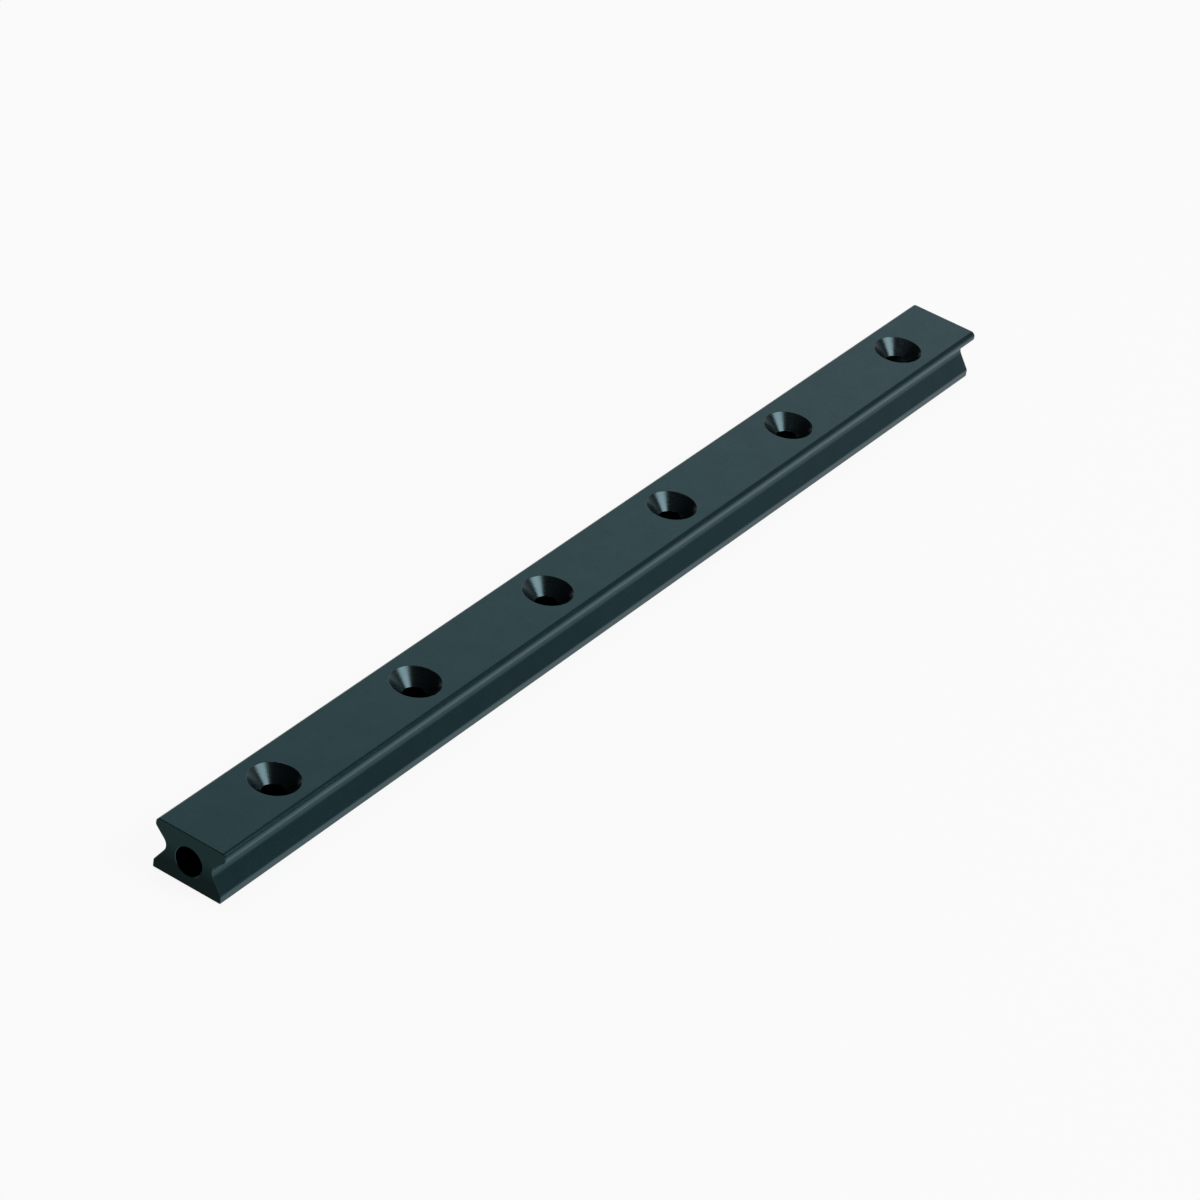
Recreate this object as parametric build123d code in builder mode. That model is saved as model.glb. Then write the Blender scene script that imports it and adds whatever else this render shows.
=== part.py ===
from build123d import *
import os

# A length of ball-bearing sail track: one aluminium extrusion, sawn to length, drilled and countersunk.
# X runs along the track, Y across it and Z up. The origin is in the middle of the underside.

# the piece of stock
track_length = 300.0

# the extruded section, a wide head over a slightly narrower foot
head_width = 19.0
foot_width = 18.5
section_height = 13.2
head_edge_thickness = 2.0
foot_edge_thickness = 2.0

# the ball groove in each side, a vee whose floor is rounded to the balls
groove_root_width = 11.3
groove_root_depth = 5.85
groove_floor_radius = 2.4

# the rounded corners of the section, where the head curls under to its groove
head_top_radius = 0.7
head_lip_radius = 2.2
foot_lip_radius = 0.8
foot_base_radius = 0.3

# the round channel that runs through the whole length, a little below the grooves
bore_diameter = 7.2
bore_below_root = 1.05

# the screw holes, countersunk from the top and evenly spaced between the two end distances
hole_count = 6
first_hole_setback = 28.0
last_hole_setback = 22.0
screw_hole_diameter = 5.3
countersink_diameter = 12.1
countersink_angle = 90.0

half_head = head_width / 2
half_foot = foot_width / 2
half_root = groove_root_width / 2
head_lip_height = section_height - head_edge_thickness
root_height = section_height - groove_root_depth
bore_height = root_height - bore_below_root

hole_pitch = (track_length - first_hole_setback - last_hole_setback) / (hole_count - 1)
hole_line_middle = (first_hole_setback - last_hole_setback) / 2

# Right half of the section, from the underside up, then its mirror image.
with BuildPart() as track:
    with BuildSketch(Plane.YZ) as section:
        with BuildLine() as outline:
            Polyline(
                (0, 0),
                (half_foot, 0),
                (half_foot, foot_edge_thickness),
                (half_root, root_height),
                (half_head, head_lip_height),
                (half_head, section_height),
                (0, section_height),
            )
            mirror(about=Plane.YZ)
        make_face()
        # each fillet picks the pair of corners at its own height
        root_corners = section.vertices().filter_by(lambda v: abs(v.Y - root_height) < 0.001)
        fillet(root_corners, groove_floor_radius)
        head_lips = section.vertices().filter_by(lambda v: abs(v.Y - head_lip_height) < 0.001)
        fillet(head_lips, head_lip_radius)
        foot_lips = section.vertices().filter_by(lambda v: abs(v.Y - foot_edge_thickness) < 0.001)
        fillet(foot_lips, foot_lip_radius)
        top_corners = section.vertices().filter_by(lambda v: abs(v.Y - section_height) < 0.001)
        fillet(top_corners, head_top_radius)
        base_corners = section.vertices().filter_by(lambda v: abs(v.Y) < 0.001)
        fillet(base_corners, foot_base_radius)
        with Locations((0, bore_height)):
            Circle(bore_diameter / 2, mode=Mode.SUBTRACT)
    extrude(amount=track_length / 2, both=True)
    # The screw holes stand in one row on the centre line and cut down through the long channel.
    with Locations((hole_line_middle, 0, section_height)):
        with GridLocations(hole_pitch, 0, hole_count, 1):
            CounterSinkHole(
                radius=screw_hole_diameter / 2,
                counter_sink_radius=countersink_diameter / 2,
                depth=section_height,
                counter_sink_angle=countersink_angle,
            )

track.part.label = "track"

os.makedirs("parts", exist_ok=True)
export_step(track.part, "parts/track.step")
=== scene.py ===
import bmesh
import bpy
import math
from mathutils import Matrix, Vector


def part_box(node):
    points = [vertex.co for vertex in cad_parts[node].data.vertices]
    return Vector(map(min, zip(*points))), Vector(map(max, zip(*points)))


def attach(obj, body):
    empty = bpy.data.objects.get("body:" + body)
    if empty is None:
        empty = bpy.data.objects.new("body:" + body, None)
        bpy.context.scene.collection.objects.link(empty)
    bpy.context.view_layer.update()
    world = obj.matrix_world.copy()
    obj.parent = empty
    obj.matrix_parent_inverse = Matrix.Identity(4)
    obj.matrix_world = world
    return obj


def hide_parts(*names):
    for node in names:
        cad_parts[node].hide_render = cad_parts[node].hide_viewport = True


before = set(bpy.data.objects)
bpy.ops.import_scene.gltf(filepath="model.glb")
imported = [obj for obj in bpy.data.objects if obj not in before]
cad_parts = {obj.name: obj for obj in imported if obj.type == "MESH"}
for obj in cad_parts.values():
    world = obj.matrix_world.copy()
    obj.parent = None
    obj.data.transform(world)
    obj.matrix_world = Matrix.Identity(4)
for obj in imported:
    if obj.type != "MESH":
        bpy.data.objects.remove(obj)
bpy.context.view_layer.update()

# The bar is one length of ball-bearing track, extruded in aluminium, sawn off square and anodised dark.
# A wide head stands over a slightly narrower foot, and the rounded vee along each side holds the balls.
# The die leaves fine lines along the bar, and the etch before anodising leaves an even satin grain.
bar_low, bar_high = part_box("track")
end_x = bar_high.x
half_head = bar_high.y
section_height = bar_high.z
half_foot = 0.00925
head_edge_thickness = 0.0020
foot_edge_thickness = 0.0020
groove_root_width = 0.0113
groove_root_depth = 0.00585
groove_floor_radius = 0.0024
head_top_radius = 0.0012
head_lip_radius = 0.0009
foot_lip_radius = 0.0008
foot_base_radius = 0.0003
end_break = 0.00012
facet_angle = math.radians(4)

# corners of the right half of the section, from the underside up, with their radii
corners = [
    ((half_foot, 0), foot_base_radius),
    ((half_foot, foot_edge_thickness), foot_lip_radius),
    ((groove_root_width / 2, section_height - groove_root_depth), groove_floor_radius),
    ((half_head, section_height - head_edge_thickness), head_lip_radius),
    ((half_head, section_height), head_top_radius),
]


def arc_round(before, corner, after, radius):
    """The points of the fillet at a corner, with a facet for each few degrees."""
    back = (before - corner).normalized()
    on = (after - corner).normalized()
    half_angle = back.angle(on) / 2
    centre = corner + (back + on).normalized() * radius / math.sin(half_angle)
    spoke = corner + back * radius / math.tan(half_angle) - centre
    turn = math.copysign(math.pi - 2 * half_angle, back.y * on.x - back.x * on.y)
    facets = math.ceil(abs(turn) / facet_angle)
    points = []
    for k in range(facets + 1):
        angle = turn * k / facets
        across = spoke.x * math.cos(angle) - spoke.y * math.sin(angle)
        up = spoke.x * math.sin(angle) + spoke.y * math.cos(angle)
        points.append(centre + Vector((across, up)))
    return points


def section_outline():
    """The closed outline of the section, anticlockwise, as points across and up."""
    turns = [Vector(place) for place, radius in corners]
    spine = [Vector((0, 0)), *turns, Vector((0, section_height))]
    right_side = []
    for k, (place, radius) in enumerate(corners):
        right_side += arc_round(spine[k], spine[k + 1], spine[k + 2], radius)
    return right_side + [Vector((-p.x, p.y)) for p in reversed(right_side)]


def moved_in(points, by):
    """The outline shrunk by a small break."""
    shrunk = []
    for k, point in enumerate(points):
        arriving = (point - points[k - 1]).normalized()
        leaving = (points[(k + 1) % len(points)] - point).normalized()
        inward = Vector((-arriving.y - leaving.y, arriving.x + leaving.x)).normalized()
        shrunk.append(point + inward * by)
    return shrunk


def skinned(name, rings, finish, cap_finish):
    """A closed piece whose walls join one ring of points to the next, with a flat cap at each end."""
    shell = bmesh.new()
    loops = [[shell.verts.new(point) for point in ring] for ring in rings]
    for near, far in zip(loops, loops[1:]):
        for k in range(len(near)):
            shell.faces.new((near[k - 1], near[k], far[k], far[k - 1]))
    for cap in (loops[0], loops[-1]):
        shell.faces.new(cap).material_index = 1
    bmesh.ops.recalc_face_normals(shell, faces=shell.faces)
    mesh = bpy.data.meshes.new(name)
    shell.to_mesh(mesh)
    shell.free()
    mesh.materials.append(finish)
    mesh.materials.append(cap_finish)
    piece = bpy.data.objects.new(name, mesh)
    bpy.context.collection.objects.link(piece)
    return piece


def add_node(material, kind, **constants):
    """A new node in a material, with numbers and colours set on its sockets by name."""
    node = material.node_tree.nodes.new("ShaderNode" + kind)
    for socket, value in constants.items():
        node.inputs[socket.replace("_", " ")].default_value = value
    return node


def join(material, source, target):
    material.node_tree.links.new(source, target)


def clouds(material, place):
    """The faint uneven tone of the dye."""
    cloud = add_node(material, "TexNoise", Scale=180, Detail=4)
    join(material, place, cloud.inputs["Vector"])
    return cloud.outputs["Fac"]


def die_lines(material, place):
    """Fine lines that the die draws along the bar."""
    drawn = add_node(material, "Mapping", Scale=(20, 3500, 3500))
    lines = add_node(material, "TexNoise", Scale=1, Detail=2)
    join(material, place, drawn.inputs["Vector"])
    join(material, drawn.outputs["Vector"], lines.inputs["Vector"])
    return lines.outputs["Fac"]


def anodised(name, dark, pale, tone_of, smoothest, roughest, grain_depth, marks_of, mark_depth):
    """Dyed and sealed aluminium: a satin etch over the marks that the tool left."""
    material = bpy.data.materials.new(name)
    material.use_nodes = True
    shader = material.node_tree.nodes["Principled BSDF"]
    shader.inputs["Metallic"].default_value = 1.0
    place = add_node(material, "TexCoord").outputs["Object"]
    tone = add_node(material, "ValToRGB")
    tone.color_ramp.elements[0].position = 0.3
    tone.color_ramp.elements[0].color = dark
    tone.color_ramp.elements[1].position = 0.7
    tone.color_ramp.elements[1].color = pale
    etch = add_node(material, "TexNoise", Scale=3600, Detail=3, Roughness=0.6)
    gloss = add_node(material, "MapRange", From_Min=0.3, From_Max=0.7, To_Min=smoothest, To_Max=roughest)
    marks = add_node(material, "Bump", Distance=mark_depth)
    grain = add_node(material, "Bump", Distance=grain_depth)
    join(material, tone_of(material, place), tone.inputs["Fac"])
    join(material, tone.outputs["Color"], shader.inputs["Base Color"])
    join(material, place, etch.inputs["Vector"])
    join(material, etch.outputs["Fac"], gloss.inputs["Value"])
    join(material, gloss.outputs["Result"], shader.inputs["Roughness"])
    join(material, marks_of(material, place), marks.inputs["Height"])
    join(material, etch.outputs["Fac"], grain.inputs["Height"])
    join(material, marks.outputs["Normal"], grain.inputs["Normal"])
    join(material, grain.outputs["Normal"], shader.inputs["Normal"])
    return material


extruded = anodised(
    "extruded_anodised",
    dark=(0.024, 0.060, 0.069, 1),
    pale=(0.028, 0.067, 0.077, 1),
    tone_of=clouds,
    smoothest=0.26,
    roughest=0.38,
    grain_depth=0.000008,
    marks_of=die_lines,
    mark_depth=0.000002,
)


def painted_shade_towards_foot(material, place):
    """Painted shade: the sawn end is coloured darker from the head down to the foot."""
    parts = add_node(material, "SeparateXYZ")
    climb = add_node(material, "MapRange", From_Min=0.0, From_Max=section_height)
    join(material, place, parts.inputs["Vector"])
    join(material, parts.outputs["Z"], climb.inputs["Value"])
    return climb.outputs["Result"]


def saw_arcs(material, place):
    """Shallow arcs that the teeth of the round blade leave."""
    blade = add_node(material, "Mapping", Location=(0, 0.05, -0.11))
    arcs = add_node(material, "TexWave", Scale=500, Distortion=3, Detail=3, Detail_Scale=2)
    arcs.wave_type = "RINGS"
    arcs.rings_direction = "X"
    join(material, place, blade.inputs["Vector"])
    join(material, blade.outputs["Vector"], arcs.inputs["Vector"])
    return arcs.outputs["Fac"]


# The sawn ends are rougher and carry the saw's arcs. Their dark colour is partly painted shade, and the
# darkening towards the foot is painted shade.
sawn_and_shaded = anodised(
    "sawn_anodised_painted_shade",
    dark=(0.0, 0.009, 0.009, 1),
    pale=(0.009, 0.030, 0.031, 1),
    tone_of=painted_shade_towards_foot,
    smoothest=0.52,
    roughest=0.62,
    grain_depth=0.000008,
    marks_of=saw_arcs,
    mark_depth=0.000003,
)


outline = section_outline()
end_outline = moved_in(outline, end_break)
track = skinned(
    "track_extrusion",
    [
        [Vector((-end_x, p.x, p.y)) for p in end_outline],
        [Vector((end_break - end_x, p.x, p.y)) for p in outline],
        [Vector((end_x - end_break, p.x, p.y)) for p in outline],
        [Vector((end_x, p.x, p.y)) for p in end_outline],
    ],
    extruded,
    sawn_and_shaded,
)

# The screw holes stand in one row on the centre line, one each 50 mm, for countersunk machine screws.
# They are drilled through and countersunk from the top, which leaves fine rings on the cone.
hole_count = 6
first_hole_setback = 0.028
last_hole_setback = 0.022
screw_hole_radius = 0.00265
countersink_radius = 0.00605
hole_rim_break = 0.00007
hole_facets = 96
hole_pitch = (2 * end_x - first_hole_setback - last_hole_setback) / (hole_count - 1)
first_hole_x = first_hole_setback - end_x
over = 0.001


def ring_about(centre, first, second, radius, facets):
    """Points of a circle round a centre, in the plane of two unit directions."""
    angles = [2 * math.pi * k / facets for k in range(facets)]
    return [centre + (first * math.cos(a) + second * math.sin(a)) * radius for a in angles]


def turned_rings(material, place):
    """Rings that the countersink leaves round the axis of each hole."""
    parts = add_node(material, "SeparateXYZ")
    from_axis = add_node(material, "Math")
    from_axis.operation = "WRAP"
    from_axis.inputs[1].default_value = first_hole_x + hole_pitch / 2
    from_axis.inputs[2].default_value = first_hole_x - hole_pitch / 2
    centred = add_node(material, "Mapping", Location=(-first_hole_x, 0, 0))
    flat = add_node(material, "CombineXYZ")
    rings = add_node(material, "TexWave", Scale=1500, Distortion=0.6, Detail=2)
    rings.wave_type = "RINGS"
    rings.rings_direction = "Z"
    join(material, place, parts.inputs["Vector"])
    join(material, parts.outputs["X"], from_axis.inputs[0])
    join(material, from_axis.outputs["Value"], flat.inputs["X"])
    join(material, parts.outputs["Y"], flat.inputs["Y"])
    join(material, flat.outputs["Vector"], centred.inputs["Vector"])
    join(material, centred.outputs["Vector"], rings.inputs["Vector"])
    return rings.outputs["Fac"]


countersunk = anodised(
    "countersunk_anodised",
    dark=(0.044, 0.070, 0.078, 1),
    pale=(0.052, 0.080, 0.089, 1),
    tone_of=clouds,
    smoothest=0.23,
    roughest=0.29,
    grain_depth=0.000003,
    marks_of=turned_rings,
    mark_depth=0.0000006,
)

# radius and height of each step of the drill and countersink, from above the bar to below it
cone_foot = section_height - countersink_radius + screw_hole_radius
drill_steps = [
    (countersink_radius + hole_rim_break + over, section_height + over),
    (countersink_radius + hole_rim_break, section_height),
    (countersink_radius - hole_rim_break / 2, section_height - hole_rim_break / 2),
    (screw_hole_radius, cone_foot),
    (screw_hole_radius, hole_rim_break),
    (screw_hole_radius + hole_rim_break, 0),
    (screw_hole_radius + hole_rim_break + over, -over),
]
across, along, up = Vector((0, 1, 0)), Vector((1, 0, 0)), Vector((0, 0, 1))
tools = []
for k in range(hole_count):
    hole_x = first_hole_x + k * hole_pitch
    rings = [ring_about(along * hole_x + up * z, along, across, r, hole_facets) for r, z in drill_steps]
    tools.append(skinned(f"drill_{k + 1}", rings, countersunk, countersunk))

# The long channel is left open by a core in the die and runs through the whole bar below the holes.
channel_radius = 0.0036
channel_height = 0.0063
core_steps = [
    (channel_radius + end_break + over, -end_x - over),
    (channel_radius + end_break, -end_x),
    (channel_radius, end_break - end_x),
    (channel_radius, end_x - end_break),
    (channel_radius + end_break, end_x),
    (channel_radius + end_break + over, end_x + over),
]
rings = [ring_about(along * x + up * channel_height, across, up, r, hole_facets) for r, x in core_steps]
tools.append(skinned("core", rings, extruded, extruded))

# The drills and the core are taken out of the bar, and each wall keeps the finish of the tool that made it.
# Where a drill runs out into the channel, points that all but coincide are welded, to keep the skin closed.
weld_distance = 0.000002
crease_angle = math.radians(24)
for tool in tools:
    cut = track.modifiers.new(tool.name, "BOOLEAN")
    cut.operation = "DIFFERENCE"
    cut.solver = "EXACT"
    cut.material_mode = "TRANSFER"
    cut.object = tool
graph = bpy.context.evaluated_depsgraph_get()
machined = bpy.data.meshes.new_from_object(track.evaluated_get(graph))
track.modifiers.clear()
track.data = machined
for tool in tools:
    bpy.data.objects.remove(tool)
skin = bmesh.new()
skin.from_mesh(machined)
bmesh.ops.remove_doubles(skin, verts=skin.verts, dist=weld_distance)
skin.to_mesh(machined)
skin.free()
machined.shade_smooth()
machined.set_sharp_from_angle(angle=crease_angle)
shading = track.modifiers.new("weighted normals", "WEIGHTED_NORMAL")
shading.keep_sharp = True
shading.weight = 100
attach(track, "root")
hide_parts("track")

# The studio is a plain pale floor in a room with pale walls and a dim ceiling. A wide lamp behind gives the
# flat top its sheen, one in front draws the streak down each countersink, and one overhead fills the rest.
floor_reach = 4.0
floor_drop = 0.0002
floor_mesh = bpy.data.meshes.new("floor")
floor_mesh.from_pydata(
    [(x, y, 0) for x, y in ((-1, -1), (1, -1), (1, 1), (-1, 1))],
    [],
    [(0, 1, 2, 3)],
)
floor = bpy.data.objects.new("floor", floor_mesh)
bpy.context.collection.objects.link(floor)
floor.scale = (floor_reach, floor_reach, 1)
floor.location.z = -floor_drop
paper = bpy.data.materials.new("white_paper")
paper.use_nodes = True
lit = paper.node_tree.nodes["Principled BSDF"]
lit.inputs["Base Color"].default_value = (0.85, 0.85, 0.85, 1)
lit.inputs["Roughness"].default_value = 0.9
lit.inputs["Specular IOR Level"].default_value = 0.1
white = add_node(paper, "Emission", Color=(1, 1, 1, 1), Strength=1.0)
white_share = 0.91
ray = add_node(paper, "LightPath")
seen = None
for kind in ("Is Camera Ray", "Is Glossy Ray", "Is Transmission Ray"):
    part = add_node(paper, "Math")
    part.operation = "MULTIPLY_ADD"
    part.inputs[1].default_value = white_share
    part.inputs[2].default_value = 0
    join(paper, ray.outputs[kind], part.inputs[0])
    if seen:
        join(paper, seen, part.inputs[2])
    seen = part.outputs["Value"]
floor_mix = add_node(paper, "MixShader")
join(paper, seen, floor_mix.inputs["Fac"])
join(paper, lit.outputs["BSDF"], floor_mix.inputs[1])
join(paper, white.outputs["Emission"], floor_mix.inputs[2])
join(paper, floor_mix.outputs["Shader"], paper.node_tree.nodes["Material Output"].inputs["Surface"])
floor_mesh.materials.append(paper)

world = bpy.data.worlds.new("room")
bpy.context.scene.world = world
world.use_nodes = True
room = world.node_tree.nodes["Background"]
room.inputs["Color"].default_value = (0.95, 0.98, 1.0, 1)
wall_light = 0.85
near_ceiling_light = 0.02
far_ceiling_light = 0.7
heading = add_node(world, "TexCoord")
bearings = add_node(world, "SeparateXYZ")
ceiling = add_node(
    world, "MapRange", From_Min=0.63, From_Max=0.95, To_Min=near_ceiling_light, To_Max=far_ceiling_light
)
wall_to_ceiling = add_node(world, "MapRange", From_Min=0.07, From_Max=0.16, To_Min=wall_light)
join(world, heading.outputs["Generated"], bearings.inputs["Vector"])
join(world, bearings.outputs["X"], ceiling.inputs["Value"])
join(world, bearings.outputs["Z"], wall_to_ceiling.inputs["Value"])
join(world, ceiling.outputs["Result"], wall_to_ceiling.inputs["To Max"])
join(world, wall_to_ceiling.outputs["Result"], room.inputs["Strength"])


def softbox(name, direction, distance, width, height, power):
    """A rectangular lamp that faces the middle of the track."""
    lamp = bpy.data.lights.new(name, "AREA")
    lamp.shape = "RECTANGLE"
    lamp.size = width
    lamp.size_y = height
    lamp.energy = power
    holder = bpy.data.objects.new(name, lamp)
    bpy.context.collection.objects.link(holder)
    towards = Vector(direction).normalized()
    holder.location = towards * distance
    holder.rotation_mode = "QUATERNION"
    holder.rotation_quaternion = towards.to_track_quat("Z", "Y")


softbox("back_softbox", (0.655, 0.5, 0.57), 1.6, 1.2, 0.8, 2.15)
softbox("front_softbox", (0.18, -0.68, 0.71), 1.4, 0.84, 0.6, 7.4)
softbox("top_softbox", (0.02, 0.16, 0.98), 1.5, 0.9, 1.1, 7.0)

camera = bpy.data.objects.new("camera", bpy.data.cameras.new("camera"))
bpy.context.collection.objects.link(camera)
camera.data.lens = 145.011
camera.data.sensor_width = 36.0
camera.data.clip_start = 0.05
camera.data.clip_end = 20
camera.location = (-0.800316, -0.472831, 0.637214)
camera.rotation_euler = [math.radians(angle) for angle in (55.2437, -7.2765, -54.4588)]
bpy.context.scene.camera = camera
bpy.context.scene.view_settings.view_transform = "Standard"
